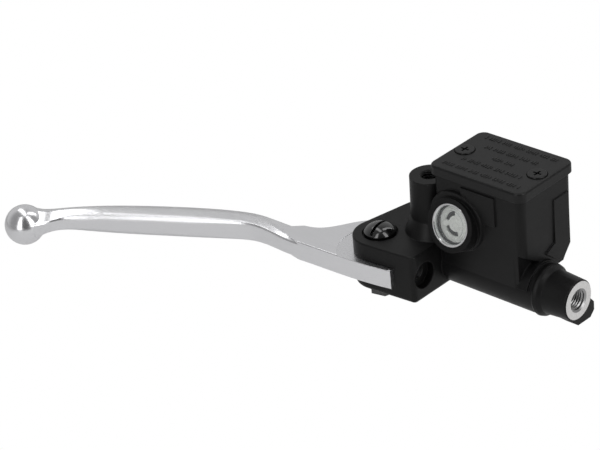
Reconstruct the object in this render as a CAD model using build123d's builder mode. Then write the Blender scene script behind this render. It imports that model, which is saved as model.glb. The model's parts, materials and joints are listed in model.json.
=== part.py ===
from build123d import *
from math import cos, radians, sin
import os

os.makedirs("parts", exist_ok=True)

# Brake master cylinder for a 22.2 mm handlebar, with reservoir, lever and clamp.
# Millimetres. X runs along the piston bore towards the brake hose, Y points back to
# the handlebar and Z is up. The origin is where the hose port's thread begins.

# ---- driving dimensions -------------------------------------------------------

BORE_R = 6.35            # 12.7 mm hydraulic bore
PISTON_R = 6.30
BARREL_R = 12.4
BORE_END_X = -19.0       # closed end of the bore
BORE_MOUTH_X = -91.0     # open end, inside the fork slot
BOOT_R = 8.6             # counterbore for the dust boot
BOOT_DEPTH = 4.0
SPRING_R = 4.5
WIRE_R = 0.55
SPRING_FROM = -42.0
SPRING_LENGTH = 22.4
SPRING_TURNS = 7

PORT_R = 5.0             # M10 hose port
PORT_DEPTH = 13.0
PORT_FACE_R = 9.9
PORT_FACE_X = 0.6        # the countersink ends where the thread begins

PIVOT = (-101.3, -21.6)  # lever pivot
PIVOT_PIN_R = 4.0
BUSH_R = 5.5
EAR_R = 13.5
EAR_TOP = 14.0
EAR_BOTTOM = -11.5
SLOT_HALF = 5.3
LEVER_HALF = 5.2
SLOT_WALL_X = -83.6      # lever rests against this wall
FRONT_YAW = 5.0          # the fork's front face is turned a little from X

LEVER_NOSE = (-2.0, 21.6)   # from the pivot, pushes the piston
LEVER_NOSE_R = 5.0
BALL_CENTRE = (-273.8, -100.5)
BALL_R = 10.3

COVER_X = -47.6          # middle of the reservoir and its cover
COVER_Y = 6.8
COVER_TOP = 55.35
COVER_L = 55.5
COVER_W = 40.8
COVER_H = 5.0
TANK_L = 53.0
TANK_W = 38.4
TANK_TOP = COVER_TOP - COVER_H
TANK_BASE = 5.6
TANK_FLOOR = 16.0
TANK_WALL = 3.0
SCREW_PITCH = 43.0
COVER_SCREW_R = 2.4
COVER_HEAD_R = 4.7
MARK_ROWS = ((15.6, 44), (8.0, 32), (0.8, 15), (-6.8, 36), (-14.4, 46))  # raised marks: row, length

SIGHT_CENTRE = (-59.6, -18.4, 29.3)
SIGHT_TILT = 14.0
SIGHT_BOSS_R = 13.2
SIGHT_RING_R = 10.75
SIGHT_FLANGE_R = 16.2

MIRROR_X = -82.4
MIRROR_Y = -4.4
MIRROR_TOP = 43.3
MIRROR_BOSS_R = 9.8
MIRROR_HOLE_R = 4.0
MIRROR_DEPTH = 18.0

SWITCH_Y = -24.8
SWITCH_Z = 1.5
SWITCH_FACE_X = -71.6
SWITCH_HOLE_R = 3.0
SWITCH_RECESS_R = 6.8

BAR_R = 11.1             # 22.2 mm handlebar
CLAMP_YAW = 15.0
CLAMP_CENTRE = (-95.0, 27.5, -2.0)
CLAMP_HALF_L = 11.0
CLAMP_SPLIT = 0.75
CLAMP_BOLT_Z = 16.5
CLAMP_BOLT_R = 3.0

# ---- working planes -----------------------------------------------------------

sight_plane = Plane(
    origin=SIGHT_CENTRE,
    x_dir=(1, 0, 0),
    z_dir=(0, -cos(radians(SIGHT_TILT)), sin(radians(SIGHT_TILT))),
)
bar_dir = (cos(radians(CLAMP_YAW)), sin(radians(CLAMP_YAW)), 0)
rear_dir = (-sin(radians(CLAMP_YAW)), cos(radians(CLAMP_YAW)), 0)
# Clamp section: local x points back through the clamp, local y is up.
clamp_plane = Plane(origin=CLAMP_CENTRE, x_dir=rear_dir, z_dir=bar_dir)
# Clamp bolts: local x along the bar, looking in from the back.
bolt_plane = Plane(origin=CLAMP_CENTRE, x_dir=bar_dir, z_dir=rear_dir)


def at_x(x):
    """Section plane square to the bore: local x is Y and local y is Z."""
    return Plane.YZ.offset(x)


def at_z(z):
    return Plane.XY.offset(z)


def from_pivot(radius, degrees):
    return (
        PIVOT[0] + radius * cos(radians(degrees)),
        PIVOT[1] + radius * sin(radians(degrees)),
    )


# ---- body casting -------------------------------------------------------------

front_tangent = from_pivot(EAR_R, -90 + FRONT_YAW)
front_corner = (
    SWITCH_FACE_X,
    front_tangent[1] + (SWITCH_FACE_X - front_tangent[0]) * sin(radians(FRONT_YAW)),
)
rear_tangent = from_pivot(EAR_R, 168)

with BuildPart() as body:
    # Tank shell with a little draft, then its two sloping undersides.
    with BuildSketch(at_z(TANK_TOP)):
        with Locations((COVER_X, COVER_Y)):
            RectangleRounded(TANK_L, TANK_W, 4.0)
    extrude(amount=-(TANK_TOP - TANK_BASE), taper=0.7)
    with BuildSketch(at_x(-24.5)):
        with BuildLine():
            Polyline((-20, 26.2), (13, 5), (-20, 5), close=True)
        make_face()
    extrude(amount=10, mode=Mode.SUBTRACT)
    with BuildSketch(at_x(-80)):
        with BuildLine():
            Polyline((17.5, 5), (20.5, 9.5), (26.5, 16), (30, 16), (30, 5), close=True)
        make_face()
    extrude(amount=70, mode=Mode.SUBTRACT)
    # Front wall carried down to the barrel.
    with BuildSketch(at_z(0)):
        with Locations((-48.6, -1.85)):
            RectangleRounded(48.4, 20.4, 3.0)
    extrude(amount=22)
    # Raised panels on the front and on the hose side.
    with BuildSketch(Plane.XZ.offset(12.1)):
        with Locations((-46.4, 40.6)):
            Rectangle(19.8, 15.2)
    extrude(amount=1.0)
    with BuildSketch(at_x(-21.6)):
        with BuildLine():
            Polyline((4.4, 15.2), (11.2, 18.3), (11.4, 41), (22.5, 41), (22.5, 13.5),
                     (17.2, 7.5), (13.5, 8.0), close=True)
        make_face()
    extrude(amount=0.9)

    # Barrel, end collar and hose boss.
    with BuildSketch(at_x(-97)):
        Circle(BARREL_R)
    extrude(amount=80)
    with BuildSketch(Plane.XZ):
        with BuildLine():
            Polyline((-22, 0), (-22, 12.4), (-17.6, 12.4), (-16.6, 12.9), (-15.0, 12.5), (-13.2, 11.0),
                     (0, 10.1), (PORT_FACE_X, PORT_FACE_R - 0.4), (PORT_FACE_X, 0), close=True)
        make_face()
    revolve(axis=Axis.X)
    # Shoulder that carries the front wall into the barrel.
    with BuildSketch(at_x(-25)):
        Circle(13.5)
        with Locations((0, -6)):
            Rectangle(30, 20, mode=Mode.SUBTRACT)
    extrude(amount=5.4)

    # Stop lug that keeps the hose union from turning.
    with BuildSketch(at_x(-7.5)) as lug:
        with BuildLine():
            Polyline((9.5, -3.0), (13.8, -8.0), (13.8, -12.4), (10.8, -15.2), (1.4, -15.0),
                     (-4.5, -9.8), (0, -4), close=True)
        make_face()
        fillet(lug.vertices(), 0.9)
    extrude(amount=6.3)

    # Fork block around the lever.
    with BuildSketch(at_z(EAR_BOTTOM)):
        with BuildLine():
            Line(front_corner, front_tangent)
            ThreePointArc(front_tangent, from_pivot(EAR_R, -140), rear_tangent)
            Polyline(rear_tangent, (-109.5, 6), (-107, 12), (-84, 20), (SWITCH_FACE_X, 12), front_corner)
        make_face()
    extrude(amount=EAR_TOP - EAR_BOTTOM)
    fillet(body.edges().filter_by(Axis.Z).sort_by_distance((*front_corner, 0))[0], 2.5)
    fork_front = body.edges().filter_by_position(Axis.Y, -40, -16)
    fillet(fork_front.filter_by_position(Axis.Z, EAR_BOTTOM - 0.01, EAR_BOTTOM + 0.01), 2.2)
    fork_front = body.edges().filter_by_position(Axis.Y, -40, -20)
    fillet(fork_front.filter_by_position(Axis.Z, EAR_TOP - 0.01, EAR_TOP + 0.01), 0.8)
    # Ramp from the fork up to the clamp and the mirror boss.
    with BuildSketch(at_z(6)):
        with BuildLine():
            Polyline((-112.6, -12), (-102.6, 2), (-105.2, 22), (-84, 26), (-72, 14), (-72, -12), close=True)
        make_face()
    extrude(amount=14)
    with BuildSketch(at_x(-120)):
        with BuildLine():
            Polyline((-14, EAR_TOP), (-12, EAR_TOP), (7, 20), (7, 24), (-14, 24), close=True)
        make_face()
    extrude(amount=45.9, mode=Mode.SUBTRACT)
    # Mirror boss on its pedestal.
    with BuildSketch(at_z(12)):
        with Locations((MIRROR_X, MIRROR_Y)):
            Circle(14.6)
    extrude(amount=10.2, taper=23)
    with BuildSketch(at_z(MIRROR_TOP)):
        with Locations((MIRROR_X, MIRROR_Y)):
            Circle(MIRROR_BOSS_R)
    extrude(amount=-(MIRROR_TOP - 14), taper=-1.5)

    # Clamp saddle with its two bolt lugs.
    with BuildSketch(clamp_plane.offset(-CLAMP_HALF_L)):
        with BuildLine():
            Polyline((-CLAMP_SPLIT, 22), (-26, 22), (-28, 10), (-28, -8), (-14, -22),
                     (-CLAMP_SPLIT, -22), close=True)
        make_face()
    extrude(amount=2 * CLAMP_HALF_L)
    # Everything beyond the clamp's ends stands clear of the handlebar.
    for end in (-1, 1):
        with BuildSketch(clamp_plane.offset(end * CLAMP_HALF_L)):
            Circle(BAR_R + 2.4)
        extrude(amount=end * 20, mode=Mode.SUBTRACT)

    # Sight glass boss on a round flange.
    with BuildSketch(Plane.XZ.offset(11.5)):
        with Locations((SIGHT_CENTRE[0], SIGHT_CENTRE[2])):
            Circle(SIGHT_FLANGE_R)
    extrude(amount=2.4, taper=20)
    with BuildSketch(sight_plane.offset(-9.0)):
        Circle(SIGHT_BOSS_R + 0.6)
    extrude(amount=9.0, taper=3.8)

    # Tank cavity, deeper in the middle than over the sloping end.
    with BuildSketch(at_z(TANK_TOP)):
        with Locations((COVER_X, COVER_Y)):
            RectangleRounded(TANK_L - 2 * TANK_WALL, TANK_W - 2 * TANK_WALL, 2.5)
            with GridLocations(SCREW_PITCH, 1, 2, 1):
                Circle(4.6, mode=Mode.SUBTRACT)
    extrude(amount=-(TANK_TOP - 23), mode=Mode.SUBTRACT)
    with BuildSketch(at_z(TANK_FLOOR)):
        with Locations((COVER_X - 1.5, COVER_Y)):
            RectangleRounded(37, TANK_W - 2 * TANK_WALL, 2.5)
    extrude(amount=10, mode=Mode.SUBTRACT)
    with BuildSketch(at_z(TANK_TOP)):
        with Locations((COVER_X, COVER_Y)):
            with GridLocations(SCREW_PITCH, 1, 2, 1):
                Circle(COVER_SCREW_R + 0.05)
    extrude(amount=-12, mode=Mode.SUBTRACT)

    # Piston bore, circlip groove and the counterbore for the boot.
    with BuildSketch(at_x(BORE_END_X)):
        Circle(BORE_R)
    extrude(amount=BORE_MOUTH_X - BORE_END_X - 2, mode=Mode.SUBTRACT)
    with BuildSketch(at_x(BORE_MOUTH_X)):
        Circle(BOOT_R)
    extrude(amount=BOOT_DEPTH, mode=Mode.SUBTRACT)
    with BuildSketch(at_x(-86.2)):
        Circle(7.2)
    extrude(amount=1.2, mode=Mode.SUBTRACT)
    # Feed holes from the tank: the large one behind the main cup, the fine one ahead.
    with BuildSketch(at_z(TANK_FLOOR + 1)):
        with Locations((-53, 0)):
            Circle(1.6)
        with Locations((-42.0, 0)):
            Circle(0.5)
    extrude(amount=-(TANK_FLOOR - 4), mode=Mode.SUBTRACT)

    # Hose port.
    with BuildSketch(at_x(PORT_FACE_X)):
        Circle(PORT_R)
    extrude(amount=-PORT_FACE_X - PORT_DEPTH, mode=Mode.SUBTRACT)
    with BuildSketch(at_x(PORT_FACE_X)):
        Circle(PORT_R + 1.0)
    extrude(amount=-PORT_FACE_X, taper=59, mode=Mode.SUBTRACT)
    with BuildSketch(at_x(-PORT_DEPTH)):
        Circle(1.6)
    extrude(amount=-7, mode=Mode.SUBTRACT)

    # Slot for the lever, with a step back around the bore's mouth.
    with BuildSketch(at_z(-SLOT_HALF)):
        with BuildLine():
            Polyline((-130, -50), (SLOT_WALL_X, -50), (SLOT_WALL_X, -8.8), (BORE_MOUTH_X, -8.8),
                     (BORE_MOUTH_X, 9.2), (-130, 9.2), close=True)
        make_face()
    extrude(amount=2 * SLOT_HALF, mode=Mode.SUBTRACT)
    # Pivot hole and the seat for the screw's head.
    with BuildSketch(at_z(-20)):
        with Locations(PIVOT):
            Circle(PIVOT_PIN_R + 0.05)
    extrude(amount=40, mode=Mode.SUBTRACT)
    with BuildSketch(at_z(12.4)):
        with Locations(PIVOT):
            Circle(8.8)
    extrude(amount=5, mode=Mode.SUBTRACT)

    # Mirror thread.
    with BuildSketch(at_z(MIRROR_TOP)):
        with Locations((MIRROR_X, MIRROR_Y)):
            Circle(MIRROR_HOLE_R)
    extrude(amount=-MIRROR_DEPTH, mode=Mode.SUBTRACT)
    with BuildSketch(at_z(MIRROR_TOP)):
        with Locations((MIRROR_X, MIRROR_Y)):
            Circle(MIRROR_HOLE_R + 0.8)
    extrude(amount=-0.8, taper=45, mode=Mode.SUBTRACT)
    # Brake light switch seat and plunger hole.
    with BuildSketch(at_x(SWITCH_FACE_X + 0.5)):
        with Locations((SWITCH_Y, SWITCH_Z)):
            Circle(SWITCH_RECESS_R)
    extrude(amount=-4.5, mode=Mode.SUBTRACT)
    with BuildSketch(at_x(SWITCH_FACE_X)):
        with Locations((SWITCH_Y, SWITCH_Z)):
            Circle(SWITCH_HOLE_R)
    extrude(amount=-14, mode=Mode.SUBTRACT)

    # Sight glass bore: ring, lens and seal, reflector, then through to the tank.
    for step_depth, step_r in ((2.0, SIGHT_RING_R + 0.05), (4.2, 10.3), (5.2, 9.2), (14.0, 6.5)):
        with BuildSketch(sight_plane):
            Circle(step_r)
        extrude(amount=-step_depth, mode=Mode.SUBTRACT)

    # Handlebar seat and clamp bolt holes.
    with BuildSketch(clamp_plane):
        Circle(BAR_R)
    extrude(amount=30, both=True, mode=Mode.SUBTRACT)
    with BuildSketch(bolt_plane):
        with GridLocations(1, 2 * CLAMP_BOLT_Z, 1, 2):
            Circle(CLAMP_BOLT_R + 0.05)
    extrude(amount=-15, mode=Mode.SUBTRACT)
body.part.label = "body"
export_step(body.part, "parts/body.step")

# ---- handlebar clamp ----------------------------------------------------------

with BuildPart() as clamp_cap:
    with BuildSketch(clamp_plane.offset(-CLAMP_HALF_L)):
        with Locations((4.6, 0)):
            RectangleRounded(8.0, 44.0, 1.5)
        Circle(15.4)
        with Locations((CLAMP_SPLIT - 20, 0)):
            Rectangle(40, 50, mode=Mode.SUBTRACT)
        Circle(BAR_R, mode=Mode.SUBTRACT)
    extrude(amount=2 * CLAMP_HALF_L)
    with BuildSketch(bolt_plane):
        with GridLocations(1, 2 * CLAMP_BOLT_Z, 1, 2):
            Circle(CLAMP_BOLT_R + 0.2)
    extrude(amount=20, mode=Mode.SUBTRACT)
    with BuildSketch(bolt_plane.offset(8.6)):
        with GridLocations(1, 2 * CLAMP_BOLT_Z, 1, 2):
            Circle(5.6)
    extrude(amount=12, mode=Mode.SUBTRACT)
clamp_cap.part.label = "clamp_cap"
export_step(clamp_cap.part, "parts/clamp_cap.step")

with BuildPart() as clamp_screws:
    with BuildSketch(bolt_plane.offset(-13)):
        with GridLocations(1, 2 * CLAMP_BOLT_Z, 1, 2):
            Circle(CLAMP_BOLT_R)
    extrude(amount=21.6)
    with BuildSketch(bolt_plane.offset(8.6)):
        with GridLocations(1, 2 * CLAMP_BOLT_Z, 1, 2):
            Circle(5.0)
    extrude(amount=6.0)
    with BuildSketch(bolt_plane.offset(14.6)):
        with GridLocations(1, 2 * CLAMP_BOLT_Z, 1, 2):
            RegularPolygon(2.9, 6)
    extrude(amount=-3.2, mode=Mode.SUBTRACT)
clamp_screws.part.label = "clamp_screws"
export_step(clamp_screws.part, "parts/clamp_screws.step")

# ---- lever, bush, pivot screw and nut -----------------------------------------

nose = (PIVOT[0] + LEVER_NOSE[0], PIVOT[1] + LEVER_NOSE[1])
blade_x = SLOT_WALL_X - 0.05
front_edge = [(blade_x, -35.9), (-94.3, -37.7), (-103.1, -38.7), (-121.8, -39.8), (-138.5, -40.6)]
rear_edge = [(-147, -27.0), (-143.8, -26.3), (-139.8, -24.6), (-135.5, -20.8),
             (-131.3, -14.8), (-127.4, -9.0), (-121, -2.6), (-113, 2.2)]
# Grip stations: front edge, heading in degrees, width, how far back the ridge lies,
# half height of the front face and half height at the ridge.
grip = [
    ((-128.0, -39.8), 181, 10.4, 2.2, 3.8, 5.15),
    ((-139.0, -40.5), 180, 11.0, 2.4, 3.8, 5.15),
    ((-148.5, -40.8), 179, 13.0, 2.9, 4.0, 5.15),
    ((-157.0, -40.2), 178, 12.6, 3.8, 4.3, 5.2),
    ((-164.5, -39.9), 182, 11.8, 4.8, 4.6, 5.5),
    ((-172.0, -41.0), 192, 12.3, 5.8, 4.9, 5.8),
    ((-181.0, -45.0), 204, 13.5, 6.8, 5.1, 6.1),
    ((-194.0, -52.0), 209, 14.5, 7.4, 5.3, 6.2),
    ((-213.0, -62.4), 210.5, 14.6, 7.4, 5.3, 6.2),
    ((-232.0, -73.0), 211, 13.8, 7.0, 5.1, 6.1),
    ((-249.0, -82.6), 213, 12.0, 6.0, 4.3, 5.7),
    ((-258.4, -90.2), 222, 11.4, 5.7, 3.2, 5.6),
    ((-262.2, -97.6), 229, 13.8, 6.9, 3.0, 6.7),
    ((-263.7, -102.6), 229, 17.8, 8.9, 3.6, 8.8),
]

with BuildPart() as lever:
    with BuildSketch(at_z(-LEVER_HALF)):
        with BuildLine():
            Spline(front_edge)
            Polyline(front_edge[-1], (-145, -39.4), (-152, -37.0), (-155, -33.5), rear_edge[0])
            Spline(rear_edge)
            Line(rear_edge[-1], (nose[0] - 1.7, nose[1] + 4.7))
            RadiusArc((nose[0] - 1.7, nose[1] + 4.7), (nose[0] + LEVER_NOSE_R, nose[1]), LEVER_NOSE_R)
            Line((nose[0] + LEVER_NOSE_R, nose[1]), (nose[0] + LEVER_NOSE_R, -11.03))
            RadiusArc((nose[0] + LEVER_NOSE_R, -11.03), from_pivot(11, 5), 11)
            Polyline(from_pivot(11, 5), (blade_x, -22.2), front_edge[0])
        make_face()
    extrude(amount=2 * LEVER_HALF)
    fillet(lever.edges().filter_by(GeomType.BSPLINE).group_by(Axis.Y)[0], 0.5)
    # Machined pads where the lever runs between the ears.
    for side in (-1, 1):
        with BuildSketch(at_z(side * LEVER_HALF)):
            with Locations(PIVOT):
                Circle(21.8)
                Circle(9.5, mode=Mode.SUBTRACT)
        extrude(amount=-side * 0.2, mode=Mode.SUBTRACT)
    for front, heading, width, ridge_back, front_half, ridge_half in grip:
        ahead = (cos(radians(heading)), sin(radians(heading)), 0)
        across = (-sin(radians(heading)), cos(radians(heading)), 0)
        rear_half = 0.62 * ridge_half
        with BuildSketch(Plane(origin=(*front, 0), x_dir=across, z_dir=ahead)):
            with BuildLine():
                FilletPolyline(
                    (0, front_half), (-ridge_back, ridge_half), (-width, rear_half),
                    (-width, -rear_half), (-ridge_back, -ridge_half), (0, -front_half),
                    radius=(1.0, 1.6, 2.4, 2.4, 1.6, 1.0),
                    close=True,
                )
            make_face()
    loft()
    with Locations(Location((*BALL_CENTRE, 0), (0, 0, 229))):
        Sphere(BALL_R)
    with BuildSketch(at_z(-10)):
        with Locations(PIVOT):
            Circle(BUSH_R)
    extrude(amount=20, mode=Mode.SUBTRACT)
lever.part.label = "lever"
export_step(lever.part, "parts/lever.step")

with BuildPart() as pivot_bush:
    with BuildSketch(at_z(-LEVER_HALF)):
        with Locations(PIVOT):
            Circle(BUSH_R)
            Circle(PIVOT_PIN_R + 0.05, mode=Mode.SUBTRACT)
    extrude(amount=2 * LEVER_HALF)
pivot_bush.part.label = "pivot_bush"
export_step(pivot_bush.part, "parts/pivot_bush.step")

with BuildPart() as pivot_screw:
    with BuildSketch(at_z(-18.4)):
        with Locations(PIVOT):
            Circle(PIVOT_PIN_R)
    extrude(amount=31)
    # Domed head with a slot.
    with BuildSketch(Plane(origin=(*PIVOT, 0), x_dir=(1, 0, 0), z_dir=(0, -1, 0))):
        with BuildLine():
            Polyline((0, 18.6), (0, 12.4), (7.9, 12.4), (7.9, 15.0))
            ThreePointArc((7.9, 15.0), (4.6, 17.7), (0, 18.6))
        make_face()
    revolve(axis=Axis((*PIVOT, 0), (0, 0, 1)))
    with BuildSketch(at_z(15.4)):
        with Locations(Location((*PIVOT, 0), (0, 0, 94.5))):
            Rectangle(17, 1.7)
    extrude(amount=4, mode=Mode.SUBTRACT)
pivot_screw.part.label = "pivot_screw"
export_step(pivot_screw.part, "parts/pivot_screw.step")

with BuildPart() as pivot_nut:
    with BuildSketch(at_z(EAR_BOTTOM)):
        with Locations(PIVOT):
            RegularPolygon(7.5, 6, rotation=12)
            Circle(PIVOT_PIN_R + 0.02, mode=Mode.SUBTRACT)
    extrude(amount=-6.4)
pivot_nut.part.label = "pivot_nut"
export_step(pivot_nut.part, "parts/pivot_nut.step")

# ---- reservoir cover and what it clamps ---------------------------------------

with BuildPart() as cover:
    with BuildSketch(at_z(TANK_TOP)):
        with Locations((COVER_X, COVER_Y)):
            RectangleRounded(COVER_L, COVER_W, 4.5)
    extrude(amount=COVER_H)
    top_edges = cover.edges().group_by(Axis.Z)[-1]
    fillet(top_edges, 1.2)
    with BuildSketch(at_z(TANK_TOP)):
        with Locations((COVER_X, COVER_Y)):
            RectangleRounded(52.4, 37.6, 3.4)
    extrude(amount=2.0, mode=Mode.SUBTRACT)
    # Rows of small raised marks.
    with BuildSketch(at_z(COVER_TOP)):
        for row_y, row_length in MARK_ROWS:
            count = int(row_length / 1.3)
            for i in range(count):
                if (3 * i + int(row_y)) % 17 > 2:
                    with Locations((COVER_X + 1.3 * (i - (count - 1) / 2), COVER_Y + row_y)):
                        Rectangle(0.5 + 0.3 * (i % 3 == 0), 2.6 - 1.1 * (i % 4 == 1))
    extrude(amount=0.25)
    with BuildSketch(at_z(COVER_TOP)):
        with Locations((COVER_X, COVER_Y)):
            with GridLocations(SCREW_PITCH, 1, 2, 1):
                Circle(COVER_HEAD_R + 0.3)
    extrude(amount=-1.2, mode=Mode.SUBTRACT)
    with BuildSketch(at_z(COVER_TOP)):
        with Locations((COVER_X, COVER_Y)):
            with GridLocations(SCREW_PITCH, 1, 2, 1):
                Circle(2.7)
    extrude(amount=-COVER_H, mode=Mode.SUBTRACT)
cover.part.label = "cover"
export_step(cover.part, "parts/cover.step")

with BuildPart() as cover_screws:
    with BuildSketch(at_z(TANK_TOP - 11)):
        with Locations((COVER_X, COVER_Y)):
            with GridLocations(SCREW_PITCH, 1, 2, 1):
                Circle(COVER_SCREW_R)
    extrude(amount=COVER_TOP - 1.2 - TANK_TOP + 11)
    with BuildSketch(at_z(COVER_TOP - 1.2)):
        with Locations((COVER_X, COVER_Y)):
            with GridLocations(SCREW_PITCH, 1, 2, 1):
                Circle(COVER_HEAD_R)
    extrude(amount=1.8)
    fillet(cover_screws.edges().group_by(Axis.Z)[-1], 0.5)
    # Cross recess.
    with BuildSketch(at_z(COVER_TOP + 0.6)):
        with Locations((COVER_X, COVER_Y)):
            with GridLocations(SCREW_PITCH, 1, 2, 1):
                Rectangle(4.6, 1.0)
                Rectangle(1.0, 4.6)
    extrude(amount=-1.6, taper=8, mode=Mode.SUBTRACT)
cover_screws.part.label = "cover_screws"
export_step(cover_screws.part, "parts/cover_screws.step")

with BuildPart() as diaphragm:
    with BuildSketch(at_z(TANK_TOP)):
        with Locations((COVER_X, COVER_Y)):
            RectangleRounded(52.0, 37.2, 3.2)
            with GridLocations(SCREW_PITCH, 1, 2, 1):
                Circle(2.8, mode=Mode.SUBTRACT)
    extrude(amount=1.5)
    # Folded bellows hanging in the tank, open to the air above.
    for depth, shrink in ((4.0, 0.0), (8.0, 2.4), (12.0, 4.8)):
        with BuildSketch(at_z(TANK_TOP)):
            with Locations((COVER_X, COVER_Y)):
                RectangleRounded(32 - shrink, 29 - shrink, 4)
        extrude(amount=-depth)
    for depth, shrink in ((2.8, 2.4), (6.8, 4.8), (10.8, 7.2)):
        with BuildSketch(at_z(TANK_TOP + 1.5)):
            with Locations((COVER_X, COVER_Y)):
                RectangleRounded(32 - shrink, 29 - shrink, 3)
        extrude(amount=-depth - 1.5, mode=Mode.SUBTRACT)
diaphragm.part.label = "diaphragm"
export_step(diaphragm.part, "parts/diaphragm.step")

with BuildPart() as diaphragm_plate:
    with BuildSketch(at_z(TANK_TOP + 1.5)):
        with Locations((COVER_X, COVER_Y)):
            RectangleRounded(52.0, 37.2, 3.2)
            RectangleRounded(14.0, 10.0, 2.0, mode=Mode.SUBTRACT)
            with GridLocations(SCREW_PITCH, 1, 2, 1):
                Circle(2.8, mode=Mode.SUBTRACT)
    extrude(amount=0.5)
diaphragm_plate.part.label = "diaphragm_plate"
export_step(diaphragm_plate.part, "parts/diaphragm_plate.step")

with BuildPart() as baffle:
    with BuildSketch(Plane.XZ.offset(-6)):
        with Locations((-47.5, 0)):
            with Locations((0, TANK_FLOOR + 1.6)):
                Rectangle(22, 3.2)
            with Locations((0, TANK_FLOOR + 1.2)):
                Rectangle(20.4, 2.4, mode=Mode.SUBTRACT)
    extrude(amount=12)
baffle.part.label = "baffle"
export_step(baffle.part, "parts/baffle.step")

# ---- sight glass --------------------------------------------------------------

with BuildPart() as sight_ring:
    with BuildSketch(sight_plane.offset(-2.0)):
        Circle(SIGHT_RING_R)
        Circle(9.5, mode=Mode.SUBTRACT)
    extrude(amount=1.8)
    chamfer(sight_ring.edges().filter_by(GeomType.CIRCLE).group_by(Axis.Y)[0], 0.3)
sight_ring.part.label = "sight_ring"
export_step(sight_ring.part, "parts/sight_ring.step")

with BuildPart() as sight_lens:
    with BuildSketch(sight_plane.offset(-3.4)):
        Circle(10.2)
    extrude(amount=1.4)
    # Steps moulded into the front of the lens.
    for front, lens_r in ((-1.2, 9.4), (-0.9, 8.3)):
        with BuildSketch(sight_plane.offset(-2.0)):
            Circle(lens_r)
        extrude(amount=2.0 + front)
    with BuildSketch(sight_plane.offset(-0.9)):
        Circle(7.2)
    extrude(amount=-0.5, mode=Mode.SUBTRACT)
sight_lens.part.label = "sight_lens"
export_step(sight_lens.part, "parts/sight_lens.step")

with BuildPart() as sight_seal:
    with BuildSketch(sight_plane.offset(-4.2)):
        Circle(10.2)
        Circle(8.9, mode=Mode.SUBTRACT)
    extrude(amount=0.8)
sight_seal.part.label = "sight_seal"
export_step(sight_seal.part, "parts/sight_seal.step")

with BuildPart() as sight_reflector:
    with BuildSketch(sight_plane.offset(-5.2)):
        Circle(9.15)
        for start, turn in ((100, 75), (205, 90)):
            with BuildLine():
                outer = CenterArc((0, 0), 6.1, start, turn)
                inner = CenterArc((0, 0), 3.9, start, turn)
                Line(outer @ 0, inner @ 0)
                Line(outer @ 1, inner @ 1)
            make_face(mode=Mode.SUBTRACT)
    extrude(amount=0.8)
sight_reflector.part.label = "sight_reflector"
export_step(sight_reflector.part, "parts/sight_reflector.step")

# ---- piston and what rides in the bore ----------------------------------------

piston_face = nose[0] + LEVER_NOSE_R + 0.03

with BuildPart() as piston:
    with BuildSketch(Plane.XZ):
        with BuildLine():
            Polyline((piston_face, 0), (piston_face, 3.4), (piston_face + 0.6, 4.0), (-84.05, 4.0),
                     (-84.05, PISTON_R), (-77.5, PISTON_R), (-77.5, 4.4), (-73.0, 4.4), (-73.0, PISTON_R),
                     (-70.5, PISTON_R), (-70.5, 4.0), (-51.5, 4.0), (-51.5, PISTON_R), (-48.5, PISTON_R),
                     (-48.5, 3.0), (-42.2, 3.0), (-42.2, 2.2), (-41.4, 2.2), (-41.4, 0), close=True)
        make_face()
    revolve(axis=Axis.X)
piston.part.label = "piston"
export_step(piston.part, "parts/piston.step")

with BuildPart() as primary_cup:
    with BuildSketch(Plane.XZ):
        with BuildLine():
            Polyline((-48.5, 3.0), (-48.5, 6.32), (-43.8, 6.32), (-44.0, 5.6), (-46.6, 5.2),
                     (-46.8, 4.2), (-44.2, 4.0), (-44.2, 3.0), close=True)
        make_face()
    revolve(axis=Axis.X)
primary_cup.part.label = "primary_cup"
export_step(primary_cup.part, "parts/primary_cup.step")

with BuildPart() as secondary_cup:
    with BuildSketch(Plane.XZ):
        with BuildLine():
            Polyline((-77.4, 4.4), (-77.4, 6.1), (-73.2, 6.32), (-73.1, 5.7), (-75.4, 5.3),
                     (-75.4, 4.4), close=True)
        make_face()
    revolve(axis=Axis.X)
secondary_cup.part.label = "secondary_cup"
export_step(secondary_cup.part, "parts/secondary_cup.step")

with BuildPart() as spring_seat:
    with BuildSketch(at_x(-43.4)):
        Circle(5.6)
        Circle(3.0, mode=Mode.SUBTRACT)
    extrude(amount=0.8)
spring_seat.part.label = "spring_seat"
export_step(spring_seat.part, "parts/spring_seat.step")

with BuildPart() as return_spring:
    with BuildLine() as coil:
        Helix(
            pitch=SPRING_LENGTH / SPRING_TURNS,
            height=SPRING_LENGTH,
            radius=SPRING_R,
            center=(SPRING_FROM, 0, 0),
            direction=(1, 0, 0),
        )
    with BuildSketch(Plane(origin=coil.line @ 0, z_dir=coil.line % 0)):
        Circle(WIRE_R)
    sweep(is_frenet=True)
return_spring.part.label = "return_spring"
export_step(return_spring.part, "parts/return_spring.step")

with BuildPart() as stop_washer:
    with BuildSketch(at_x(-85.1)):
        Circle(6.3)
        Circle(4.1, mode=Mode.SUBTRACT)
    extrude(amount=1.0)
stop_washer.part.label = "stop_washer"
export_step(stop_washer.part, "parts/stop_washer.step")

with BuildPart() as circlip:
    with BuildSketch(at_x(-86.1)):
        Circle(7.1)
        Circle(5.2, mode=Mode.SUBTRACT)
        with Locations((0, -6)):
            Rectangle(4.5, 6, mode=Mode.SUBTRACT)
    extrude(amount=1.0)
circlip.part.label = "circlip"
export_step(circlip.part, "parts/circlip.step")

with BuildPart() as dust_boot:
    with BuildSketch(Plane.XZ):
        with BuildLine():
            Polyline((-87.1, 6.8), (-87.1, 8.55), (-90.9, 8.55), (-90.9, 4.1), (-90.1, 4.1),
                     (-90.1, 6.8), close=True)
        make_face()
    revolve(axis=Axis.X)
dust_boot.part.label = "dust_boot"
export_step(dust_boot.part, "parts/dust_boot.step")
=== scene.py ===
import json
from math import cos, hypot, pi, radians, sin

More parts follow.
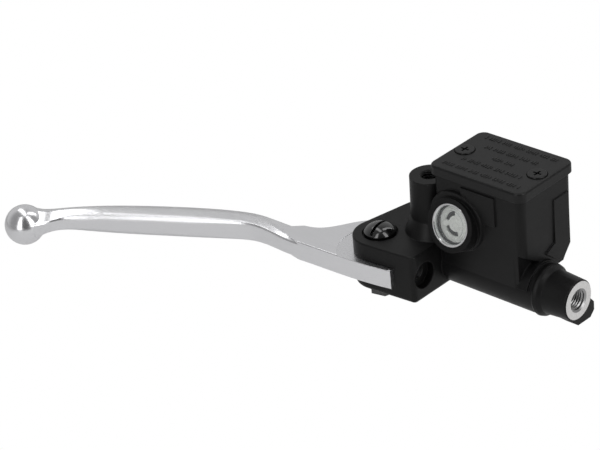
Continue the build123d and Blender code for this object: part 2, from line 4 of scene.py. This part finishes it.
import bmesh
import bpy
from mathutils import Matrix, Vector


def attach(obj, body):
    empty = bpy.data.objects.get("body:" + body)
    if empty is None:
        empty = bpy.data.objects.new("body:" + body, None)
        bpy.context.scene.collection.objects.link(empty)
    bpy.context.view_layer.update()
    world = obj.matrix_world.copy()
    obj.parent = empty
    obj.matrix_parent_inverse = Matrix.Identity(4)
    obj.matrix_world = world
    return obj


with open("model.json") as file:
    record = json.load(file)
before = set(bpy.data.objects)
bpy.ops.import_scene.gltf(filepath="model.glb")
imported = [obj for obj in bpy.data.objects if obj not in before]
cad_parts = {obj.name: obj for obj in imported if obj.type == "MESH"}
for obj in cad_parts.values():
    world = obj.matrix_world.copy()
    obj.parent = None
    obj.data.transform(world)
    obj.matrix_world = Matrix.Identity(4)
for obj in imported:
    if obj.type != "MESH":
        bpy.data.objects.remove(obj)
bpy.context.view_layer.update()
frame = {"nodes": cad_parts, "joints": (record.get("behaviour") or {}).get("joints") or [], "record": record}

nodes = frame["nodes"]
mounts = {mount["name"]: mount for mount in frame["record"]["mounts"]}
joints = {joint["name"]: joint for joint in frame["joints"]}

MM = 0.001
PER_MM = 1000

# Sight glass, in metres: the middle of its window and the way it faces.
SIGHT_AT = (-0.0596, -0.0184, 0.0293)
SIGHT_TILT = radians(14)
SIGHT_AXIS = (0, -cos(SIGHT_TILT), sin(SIGHT_TILT))

# Lever, in metres: its grip lies between the bend and the neck of the ball.
GRIP_HEADING = radians(30)
GRIP_ROUNDING = 0.004
BEND_X = (-0.20, -0.16)
NECK_X = (-0.262, -0.250)

# Camera, in metres and degrees, aimed from the middle of the cover's top.
CAMERA_AZIMUTH = radians(45.7)
CAMERA_ELEVATION = radians(29.5)
CAMERA_ROLL = radians(-5.8)
CAMERA_LENS = 144
COVER_MIDDLE = Vector((-0.0476, 0.0068, 0.05535))
AIM_LEFT = 0.09333
AIM_DOWN = 0.02933
DISTANCE = 1.1163

FLOOR_Z = -0.12
FLOOR_SIZE = 6
SUBJECT = Vector((-0.12, -0.02, 0.01))  # what the lights face


# ---- shader helpers -----------------------------------------------------------

def grey(level):
    return (level, level, level)


def scaled(colour, share):
    return tuple(channel * share for channel in colour)


def new_material(name):
    mat = bpy.data.materials.new(name)
    mat.use_nodes = True
    tree = mat.node_tree
    return mat, tree, tree.nodes["Principled BSDF"]


def combine(tree, kind, operation, first, second=None):
    """A maths node whose inputs are each a socket or a plain value."""
    node = tree.nodes.new(kind)
    node.operation = operation
    for socket, value in zip(node.inputs, (first, second)):
        if isinstance(value, bpy.types.NodeSocket):
            tree.links.new(value, socket)
        elif value is not None:
            socket.default_value = value
    return node.outputs


def maths(tree, operation, first, second=None):
    return combine(tree, "ShaderNodeMath", operation, first, second)["Value"]


def vector_maths(tree, operation, first, second=None):
    outputs = combine(tree, "ShaderNodeVectorMath", operation, first, second)
    return outputs["Value" if operation in ("LENGTH", "DOT_PRODUCT") else "Vector"]


def place(tree):
    """Object-space position in metres, so no UVs are needed."""
    return tree.nodes.new("ShaderNodeTexCoord").outputs["Object"]


def stretched(tree, scale, turn=0.0):
    """Object-space position scaled along each axis, after a turn about Z."""
    mapping = tree.nodes.new("ShaderNodeMapping")
    mapping.inputs["Rotation"].default_value = (0, 0, turn)
    mapping.inputs["Scale"].default_value = scale
    tree.links.new(place(tree), mapping.inputs["Vector"])
    return mapping.outputs["Vector"]


def millimetres(tree):
    return stretched(tree, (PER_MM, PER_MM, PER_MM))


def noise(tree, vector, scale, detail=4.0, rough=0.5):
    node = tree.nodes.new("ShaderNodeTexNoise")
    node.inputs["Scale"].default_value = scale
    node.inputs["Detail"].default_value = detail
    node.inputs["Roughness"].default_value = rough
    tree.links.new(vector, node.inputs["Vector"])
    return node.outputs["Fac"]


def remap(tree, value, low, high, to_low, to_high):
    node = tree.nodes.new("ShaderNodeMapRange")
    node.inputs["From Min"].default_value = low
    node.inputs["From Max"].default_value = high
    node.inputs["To Min"].default_value = to_low
    node.inputs["To Max"].default_value = to_high
    tree.links.new(value, node.inputs["Value"])
    return node.outputs["Result"]


def ramp(tree, value, stops):
    node = tree.nodes.new("ShaderNodeValToRGB")
    while len(node.color_ramp.elements) < len(stops):
        node.color_ramp.elements.new(0.5)
    for element, (at, colour) in zip(node.color_ramp.elements, stops):
        element.position = at
        element.color = (*colour, 1.0)
    tree.links.new(value, node.inputs["Fac"])
    return node.outputs["Color"]


def bump(tree, height, strength, distance, normal=None):
    node = tree.nodes.new("ShaderNodeBump")
    node.inputs["Strength"].default_value = strength
    node.inputs["Distance"].default_value = distance
    tree.links.new(height, node.inputs["Height"])
    if normal is not None:
        tree.links.new(normal, node.inputs["Normal"])
    return node.outputs["Normal"]


def soft_edges(tree, radius):
    """Shading rounded over edges by a radius in metres, or by one that a node gives."""
    node = tree.nodes.new("ShaderNodeBevel")
    node.samples = 6
    if isinstance(radius, bpy.types.NodeSocket):
        tree.links.new(radius, node.inputs["Radius"])
    else:
        node.inputs["Radius"].default_value = radius
    return node.outputs["Normal"]


def mix_shaders(tree, share, first, second, target):
    """First shader where share is 0 and second where it is 1."""
    mix = tree.nodes.new("ShaderNodeMixShader")
    tree.links.new(share, mix.inputs["Fac"])
    tree.links.new(first, mix.inputs[1])
    tree.links.new(second, mix.inputs[2])
    tree.links.new(mix.outputs["Shader"], target)


# ---- materials ----------------------------------------------------------------

def black_coat(name, base, rough, edge, grain, shine):
    """Powder coat on a casting: fine orange peel, faint cloudiness, soft edges."""
    mat, tree, shader = new_material(name)
    at = millimetres(tree)
    cloud = noise(tree, at, 0.12, 5, 0.6)
    low, high = base * 0.8, base * 1.25
    tint = ramp(tree, cloud, [(0.3, (low, low, low * 1.06)), (0.7, (high, high * 0.98, high))])
    gloss = remap(tree, cloud, 0.3, 0.7, rough - 0.05, rough + 0.05)
    peel = noise(tree, at, 2.2, 3, 0.55)
    tree.links.new(tint, shader.inputs["Base Color"])
    tree.links.new(gloss, shader.inputs["Roughness"])
    shader.inputs["Specular IOR Level"].default_value = shine
    tree.links.new(bump(tree, peel, grain, 0.00008, soft_edges(tree, edge)), shader.inputs["Normal"])
    return mat


def metal(name, colour, rough, edge=0.0002):
    """Bare metal with fine mottled marks."""
    mat, tree, shader = new_material(name)
    marks = noise(tree, millimetres(tree), 1.5, 6, 0.65)
    tint = ramp(tree, marks, [(0.35, scaled(colour, 0.93)), (0.65, colour)])
    gloss = remap(tree, marks, 0.3, 0.7, rough * 0.85, rough * 1.2)
    shader.inputs["Metallic"].default_value = 1.0
    tree.links.new(tint, shader.inputs["Base Color"])
    tree.links.new(gloss, shader.inputs["Roughness"])
    tree.links.new(bump(tree, marks, 0.08, 0.00003, soft_edges(tree, edge)), shader.inputs["Normal"])
    return mat


def moulded(name, colour, rough):
    """Moulded rubber or plastic with slight mottling."""
    mat, tree, shader = new_material(name)
    mottle = noise(tree, millimetres(tree), 1.0)
    tint = ramp(tree, mottle, [(0.35, scaled(colour, 0.88)), (0.65, scaled(colour, 1.12))])
    gloss = remap(tree, mottle, 0.3, 0.7, rough * 0.9, rough * 1.1)
    tree.links.new(tint, shader.inputs["Base Color"])
    tree.links.new(gloss, shader.inputs["Roughness"])
    tree.links.new(bump(tree, mottle, 0.1, 0.00005), shader.inputs["Normal"])
    return mat


def clear_plastic(name):
    """Thin clear window: mostly see-through, whiter at a slant, with a faint haze."""
    mat, tree, shader = new_material(name)
    haze = noise(tree, millimetres(tree), 0.5, 3)
    shader.inputs["Base Color"].default_value = (0.9, 0.92, 0.92, 1)
    tree.links.new(remap(tree, haze, 0.3, 0.7, 0.03, 0.08), shader.inputs["Roughness"])
    through = tree.nodes.new("ShaderNodeBsdfTransparent")
    through.inputs["Color"].default_value = (0.97, 0.98, 0.98, 1)
    slant = tree.nodes.new("ShaderNodeLayerWeight")
    share = remap(tree, slant.outputs["Facing"], 0.2, 1.0, 0.05, 0.6)
    surface = tree.nodes["Material Output"].inputs["Surface"]
    mix_shaders(tree, share, through.outputs["BSDF"], shader.outputs["BSDF"], surface)
    return mat


def brushed(name, colour, rough, edge=0.0003):
    """Satin-polished lever: fine streaks along the grip, and a rounder grip than the plate."""
    mat, tree, shader = new_material(name)
    streak = noise(tree, stretched(tree, (60, 1400, 1400), -GRIP_HEADING), 1.0, 5, 0.6)
    cloud = noise(tree, millimetres(tree), 0.09, 3)
    tint = ramp(tree, streak, [(0.3, scaled(colour, 0.94)), (0.7, colour)])
    satin = remap(tree, streak, 0.3, 0.7, rough * 0.85, rough * 1.2)
    patches = remap(tree, cloud, 0.3, 0.7, -0.02, 0.03)
    split = tree.nodes.new("ShaderNodeSeparateXYZ")
    tree.links.new(place(tree), split.inputs["Vector"])
    from_bend = remap(tree, split.outputs["X"], *BEND_X, GRIP_ROUNDING, edge)
    from_neck = remap(tree, split.outputs["X"], *NECK_X, edge, GRIP_ROUNDING)
    rounded = soft_edges(tree, maths(tree, "MINIMUM", from_bend, from_neck))
    shader.inputs["Metallic"].default_value = 1.0
    tree.links.new(tint, shader.inputs["Base Color"])
    tree.links.new(maths(tree, "ADD", satin, patches), shader.inputs["Roughness"])
    tree.links.new(bump(tree, streak, 0.06, 0.00002, rounded), shader.inputs["Normal"])
    return mat


def turned(name, colour, rough, centre, axis, pitch):
    """Turned metal: fine rings, a pitch in mm apart, about an axis through a centre in metres."""
    mat, tree, shader = new_material(name)
    offset = vector_maths(tree, "SUBTRACT", place(tree), centre)
    radius = vector_maths(tree, "LENGTH", vector_maths(tree, "CROSS_PRODUCT", offset, axis))
    rings = maths(tree, "SINE", maths(tree, "MULTIPLY", radius, PER_MM * 2 * pi / pitch))
    grain = noise(tree, millimetres(tree), 1.2, 4)
    tint = ramp(tree, grain, [(0.3, scaled(colour, 0.9)), (0.7, colour)])
    gloss = remap(tree, grain, 0.3, 0.7, rough * 0.8, rough * 1.25)
    shader.inputs["Metallic"].default_value = 1.0
    tree.links.new(tint, shader.inputs["Base Color"])
    tree.links.new(gloss, shader.inputs["Roughness"])
    tree.links.new(bump(tree, rings, 0.25, 0.00001), shader.inputs["Normal"])
    return mat


pivot = joints["lever_pivot"]
port = mounts["hose_port"]

coat = black_coat("powder_coat", base=0.004, rough=0.42, edge=0.0006, grain=0.25, shine=0.22)
coat_cover = black_coat("cover_coat", base=0.005, rough=0.40, edge=0.0004, grain=0.3, shine=0.30)
gloss_black = black_coat("black_oxide", base=0.003, rough=0.12, edge=0.0002, grain=0.05, shine=1.0)
screw_black = black_coat("black_zinc", base=0.004, rough=0.34, edge=0.00015, grain=0.1, shine=0.32)
polished = brushed("polished_alloy", (0.88, 0.88, 0.90), 0.21)
pad = turned("milled_pad", (0.84, 0.84, 0.86), 0.30, pivot["pos_m"], pivot["axis"], 0.6)
port_face = turned("port_face", (0.90, 0.89, 0.88), 0.34, port["pos_m"], port["axis"], 0.3)
bright = turned("bright_ring", (0.95, 0.95, 0.96), 0.14, SIGHT_AT, SIGHT_AXIS, 0.25)
# Bare cut metal whose grey is lowered to 0.40 as painted shade for the inside of the hose port, its thread
# ridge and the switch hole.
cut_metal_shaded = metal("cut_thread_painted_shade", grey(0.40), 0.32, edge=0.00006)
steel = metal("steel", (0.56, 0.56, 0.58), 0.28)
bronze = metal("bronze", (0.60, 0.42, 0.20), 0.35)
rubber = moulded("rubber", grey(0.02), 0.6)
cream = moulded("cream_plastic", (0.85, 0.84, 0.80), 0.4)
clear = clear_plastic("clear_plastic")

made_of = (
    (coat, ("body", "clamp_cap")),
    (coat_cover, ("cover",)),
    (gloss_black, ("pivot_screw", "pivot_nut", "clamp_screws")),
    (screw_black, ("cover_screws",)),
    (polished, ("lever",)),
    (bronze, ("pivot_bush",)),
    (bright, ("sight_ring",)),
    (clear, ("sight_lens",)),
    (cream, ("sight_reflector", "diaphragm_plate")),
    (rubber, ("diaphragm", "sight_seal", "primary_cup", "secondary_cup", "dust_boot")),
    (steel, ("baffle", "piston", "spring_seat", "return_spring", "stop_washer", "circlip")),
)
for mat, names in made_of:
    for name in names:
        mesh = nodes[name].data
        mesh.materials.clear()
        mesh.materials.append(mat)


# ---- bare metal on the body and the lever -------------------------------------

def refinish(node, mat, picks):
    """Give mat to the faces of a node that picks(centre, normal) chooses, in mm."""
    mesh = nodes[node].data
    mesh.materials.append(mat)
    index = len(mesh.materials) - 1
    for face in mesh.polygons:
        if picks(PER_MM * face.center, face.normal):
            face.material_index = index


def on_port_face(at, normal):
    return at.x > 0.5 and normal.x > 0.9


def in_port(at, normal):
    """The hose port's wall and the chamfer at its mouth."""
    mouth_r = port["dims"]["r_mm"] + 1.1
    return -22 < at.x < 0.62 and hypot(at.y, at.z) < mouth_r and abs(normal.x) < 0.9


def in_switch_hole(at):
    hole = mounts["switch_hole"]
    x, y, z = (PER_MM * value for value in hole["pos_m"])
    return at.x < x + 0.4 and hypot(at.y - y, at.z - z) < hole["dims"]["r_mm"] + 0.1


def on_pad(at, normal):
    """The milled flats of the lever either side of its middle plane."""
    return 4.8 < abs(at.z) < 5.1 and abs(normal.z) > 0.9


refinish("body", port_face, on_port_face)
# The port's wall, its mouth chamfer and the switch hole get the cut metal with painted shade in its darker
# grey.
refinish("body", cut_metal_shaded, lambda at, normal: in_port(at, normal) or in_switch_hole(at))
refinish("lever", pad, on_pad)


# ---- thread ridges ------------------------------------------------------------

THREAD_PITCH = 1.25
PER_TURN = 48
FADE_STEPS = 20
HALF_ROOT = 0.44 * THREAD_PITCH
HALF_CREST = 0.06 * THREAD_PITCH


def thread(name, mount, depth, unthreaded, mat):
    """Helical ridge standing inwards from a threaded hole's wall, in mm."""
    hole = mounts[mount]
    start = PER_MM * Vector(hole["pos_m"])
    axis = -Vector(hole["axis"])
    radius = hole["dims"]["r_mm"] + 0.02
    side = axis.orthogonal().normalized()
    other = axis.cross(side)
    steps = int((hole["dims"]["length_mm"] - unthreaded) / THREAD_PITCH * PER_TURN)
    profile = ((0.0, -HALF_ROOT), (-depth, -HALF_CREST), (-depth, HALF_CREST), (0.0, HALF_ROOT))
    verts, faces = [], []
    for i in range(steps + 1):
        angle = 2 * pi * i / PER_TURN
        fade = min(1.0, i / FADE_STEPS, (steps - i) / FADE_STEPS)
        for inward, along in profile:
            at = start + axis * (HALF_ROOT + THREAD_PITCH * i / PER_TURN + along)
            at += (radius + inward * fade) * (cos(angle) * side + sin(angle) * other)
            verts.append(MM * at)
    corners = len(profile)
    for i in range(steps):
        for j in range(corners):
            here, beside = corners * i + j, corners * i + (j + 1) % corners
            faces.append((here, beside, beside + corners, here + corners))
    faces.append(tuple(reversed(range(corners))))
    faces.append(tuple(corners * steps + j for j in range(corners)))
    mesh = bpy.data.meshes.new(name)
    mesh.from_pydata(verts, [], faces)
    bm = bmesh.new()
    bm.from_mesh(mesh)
    bmesh.ops.recalc_face_normals(bm, faces=bm.faces)
    bm.to_mesh(mesh)
    bm.free()
    mesh.materials.append(mat)
    ridge = bpy.data.objects.new(name, mesh)
    bpy.context.scene.collection.objects.link(ridge)
    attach(ridge, "housing")


thread("hose_port_thread", "hose_port", 0.62, 0.4, cut_metal_shaded)
thread("mirror_boss_thread", "mirror_thread", 0.6, 0.6, coat)


# ---- floor, camera, room and lights -------------------------------------------

def split_rays(tree, seen, unseen, target):
    """Camera rays get one shader and all other rays get another."""
    path = tree.nodes.new("ShaderNodeLightPath")
    mix_shaders(tree, path.outputs["Is Camera Ray"], unseen, seen, target)


# The camera sees a plain white floor, and the object reflects a softer grey one.
bpy.ops.mesh.primitive_plane_add(size=FLOOR_SIZE, location=(-0.1, 0, FLOOR_Z))
floor = bpy.context.object
floor.name = "floor"
mat, tree, shader = new_material("floor_white")
mottle = noise(tree, millimetres(tree), 0.002, 2)
tint = ramp(tree, mottle, [(0.3, grey(0.76)), (0.7, grey(0.80))])
tree.links.new(tint, shader.inputs["Base Color"])
shader.inputs["Specular IOR Level"].default_value = 0.0
glow = tree.nodes.new("ShaderNodeEmission")
surface = tree.nodes["Material Output"].inputs["Surface"]
split_rays(tree, glow.outputs["Emission"], shader.outputs["BSDF"], surface)
floor.data.materials.append(mat)

reach = cos(CAMERA_ELEVATION)
back = Vector((sin(CAMERA_AZIMUTH) * reach, -cos(CAMERA_AZIMUTH) * reach, sin(CAMERA_ELEVATION)))
level = Vector((cos(CAMERA_AZIMUTH), sin(CAMERA_AZIMUTH), 0))
over = back.cross(level)
right = cos(CAMERA_ROLL) * level + sin(CAMERA_ROLL) * over
up = cos(CAMERA_ROLL) * over - sin(CAMERA_ROLL) * level
stand = Matrix((right, up, back)).transposed().to_4x4()
stand.translation = COVER_MIDDLE - AIM_LEFT * right - AIM_DOWN * up + DISTANCE * back
data = bpy.data.cameras.new("camera")
data.sensor_width = 36
data.lens = CAMERA_LENS
data.clip_start = 0.05
camera = bpy.data.objects.new("camera", data)
bpy.context.scene.collection.objects.link(camera)
camera.matrix_world = stand
bpy.context.scene.camera = camera
bpy.context.scene.view_settings.view_transform = "Standard"

# The room is darker behind the camera than behind the object, and the camera sees it white.
world = bpy.data.worlds.new("studio")
bpy.context.scene.world = world
world.use_nodes = True
tree = world.node_tree
white = tree.nodes["Background"]
white.inputs["Color"].default_value = (1, 1, 1, 1)
room = tree.nodes.new("ShaderNodeBackground")
outwards = tree.nodes.new("ShaderNodeTexCoord").outputs["Generated"]
share = remap(tree, vector_maths(tree, "DOT_PRODUCT", outwards, back), -1.0, 1.0, 0.0, 1.0)
shades = [(0.35, grey(0.55)), (0.60, grey(0.30)), (0.85, grey(0.26)), (0.95, grey(0.10))]
tree.links.new(ramp(tree, share, shades), room.inputs["Color"])
surface = tree.nodes["World Output"].inputs["Surface"]
split_rays(tree, white.outputs["Background"], room.outputs["Background"], surface)


def panel(name, centre, size, aim, energy):
    """Rectangular soft box, in metres and watts."""
    data = bpy.data.lights.new(name, "AREA")
    data.shape = "RECTANGLE"
    data.size, data.size_y = size
    data.energy = energy
    lamp = bpy.data.objects.new(name, data)
    bpy.context.scene.collection.objects.link(lamp)
    lamp.location = centre
    lamp.rotation_euler = (aim - centre).to_track_quat("-Z", "Y").to_euler()


# Two tall soft boxes stand either side of the camera, and two strips hang overhead.
BOX_HEIGHT = 2.8
BOX_RISE = 1.38
STRIP_DISTANCE = 1.15
for name, turn, width, energy in (("left_box", -36, 0.36, 8.0), ("right_box", 48, 0.46, 10.0)):
    heading = CAMERA_AZIMUTH + radians(turn)
    centre = SUBJECT + Vector((sin(heading), -cos(heading), BOX_RISE))
    panel(name, centre, (width, BOX_HEIGHT), Vector((SUBJECT.x, SUBJECT.y, centre.z)), energy)
for name, aim, size, energy in (
    ("left_top", -0.27 * right + 0.94 * up + 0.22 * back, (0.26, 1.2), 2.0),
    ("right_top", 0.44 * right + 0.89 * up + 0.10 * back, (0.24, 1.0), 1.6),
):
    panel(name, SUBJECT + STRIP_DISTANCE * aim.normalized(), size, SUBJECT, energy)
